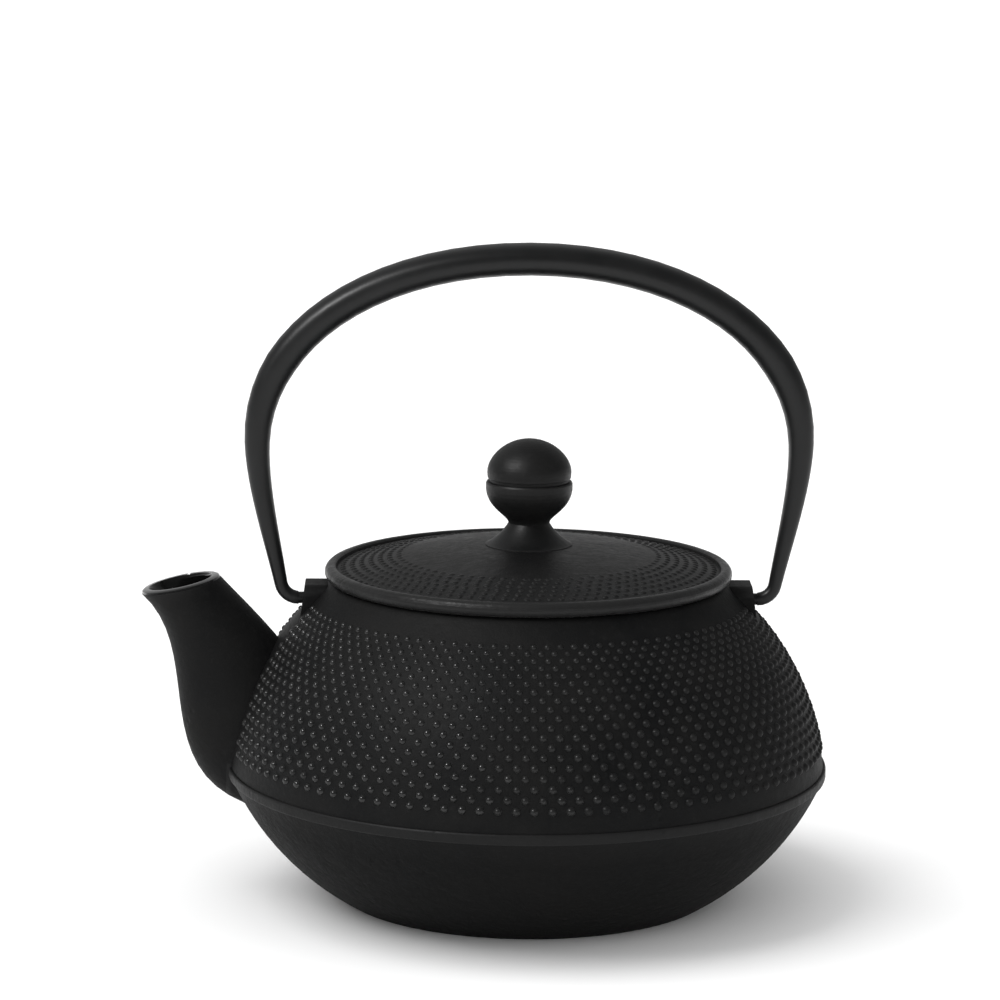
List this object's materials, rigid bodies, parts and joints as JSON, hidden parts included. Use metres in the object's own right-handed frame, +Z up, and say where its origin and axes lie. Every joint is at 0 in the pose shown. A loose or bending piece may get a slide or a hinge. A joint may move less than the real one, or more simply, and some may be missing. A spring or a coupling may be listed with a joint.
{
  "type": "cast iron teapot",
  "caption": "Cast iron teapot with raised-dot shoulder, ridge round the hip, short spout, tall tilting bail, lift-off lid with a ball knob, and a lift-out infuser basket.",
  "frame": {"origin": "centre of the pot's flat underside, on the vertical axis of the round body", "axes": "+Z up; -X towards the spout; the bail turns about a line parallel to X, through the two lugs"},
  "size_m": [0.1708, 0.1496, 0.163],
  "materials": {
    "cast_iron_black": "matte black, fine sand-cast texture, black enamel inside",
    "bail_black": "satin black",
    "rivet_steel": "dull plated steel",
    "basket_sheet": "bright stainless sheet",
    "basket_mesh": "fine woven stainless mesh"
  },
  "bodies": {
    "pot": {"pot_body": "cast_iron_black"},
    "bail": {"bail": "bail_black"},
    "basket": {"basket_rim": "basket_sheet", "basket_wall": "basket_mesh", "basket_band": "basket_sheet", "basket_base": "basket_mesh"},
    "lid": {"lid": "cast_iron_black", "knob_base": "cast_iron_black", "knob_cap": "cast_iron_black", "knob_rivet": "rivet_steel", "rivet_washer": "rivet_steel"}
  },
  "joints": [
    {"name": "bail_pivot", "type": "hinge", "parent": "pot", "child": "bail", "pos_m": [0, 0, 0.0742], "axis": [1, 0, 0], "range_deg": [-112, 112]},
    {"name": "basket_lift", "type": "slide", "parent": "pot", "child": "basket", "axis": [0, 0, 1], "range_m": [0, 0.026]},
    {"name": "lid_lift", "type": "slide", "parent": "basket", "child": "lid", "axis": [0, 0, 1], "range_m": [0, 0.014]}
  ]
}
